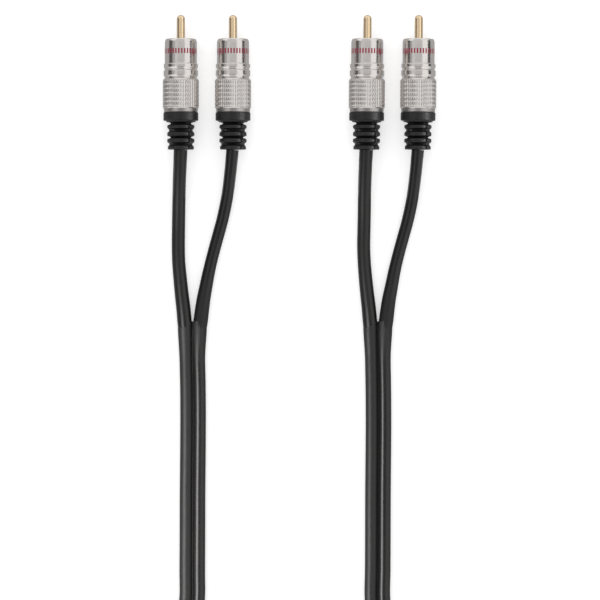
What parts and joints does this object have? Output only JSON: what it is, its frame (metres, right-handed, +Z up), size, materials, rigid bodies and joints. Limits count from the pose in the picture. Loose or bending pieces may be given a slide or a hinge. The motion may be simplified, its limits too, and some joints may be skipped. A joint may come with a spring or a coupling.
{
  "type": "rca audio cable",
  "caption": "Stereo audio lead with metal-shelled phono plugs at both ends of a figure-eight cable, its spare length wound in a tied coil.",
  "frame": {"origin": "on the surface that the lead lies on, under the middle of the box round the four plugs", "axes": "+X across the plugs, +Y the way their pins point, +Z up"},
  "size_m": [0.12, 0.3715, 0.0141],
  "materials": {
    "gold_plate": "bright gold plate",
    "satin_nickel": "satin nickel plate",
    "tinned_steel": "tinned",
    "bare_copper": "bare copper strands",
    "white_plastic": "plain moulded",
    "liner_film": "cloudy film",
    "boot_rubber": "matt moulded",
    "cable_vinyl": "satin vinyl",
    "tie_fabric": "napped strap"
  },
  "bodies": {
    "root": {"plug1_centre_pin": "gold_plate", "plug1_insulator": "white_plastic", "plug1_ground_sleeve": "gold_plate", "plug1_barrel": "satin_nickel", "plug1_liner": "liner_film", "plug1_cable_clamp": "tinned_steel", "plug1_screen_tail": "tinned_steel", "plug1_conductor": "bare_copper", "plug1_insulated_core": "white_plastic", "plug1_cable_end": "cable_vinyl", "plug1_boot": "boot_rubber", "plug2_centre_pin": "gold_plate", "plug2_insulator": "white_plastic", "plug2_ground_sleeve": "gold_plate", "plug2_barrel": "satin_nickel", "plug2_liner": "liner_film", "plug2_cable_clamp": "tinned_steel", "plug2_screen_tail": "tinned_steel", "plug2_conductor": "bare_copper", "plug2_insulated_core": "white_plastic", "plug2_cable_end": "cable_vinyl", "plug2_boot": "boot_rubber", "plug3_centre_pin": "gold_plate", "plug3_insulator": "white_plastic", "plug3_ground_sleeve": "gold_plate", "plug3_barrel": "satin_nickel", "plug3_liner": "liner_film", "plug3_cable_clamp": "tinned_steel", "plug3_screen_tail": "tinned_steel", "plug3_conductor": "bare_copper", "plug3_insulated_core": "white_plastic", "plug3_cable_end": "cable_vinyl", "plug3_boot": "boot_rubber", "plug4_centre_pin": "gold_plate", "plug4_insulator": "white_plastic", "plug4_ground_sleeve": "gold_plate", "plug4_barrel": "satin_nickel", "plug4_liner": "liner_film", "plug4_cable_clamp": "tinned_steel", "plug4_screen_tail": "tinned_steel", "plug4_conductor": "bare_copper", "plug4_insulated_core": "white_plastic", "plug4_cable_end": "cable_vinyl", "plug4_boot": "boot_rubber", "leg1": "cable_vinyl", "leg2": "cable_vinyl", "leg3": "cable_vinyl", "leg4": "cable_vinyl", "twin_left": "cable_vinyl", "twin_right": "cable_vinyl", "cable_coil": "cable_vinyl", "coil_tie": "tie_fabric"}
  },
  "joints": []
}
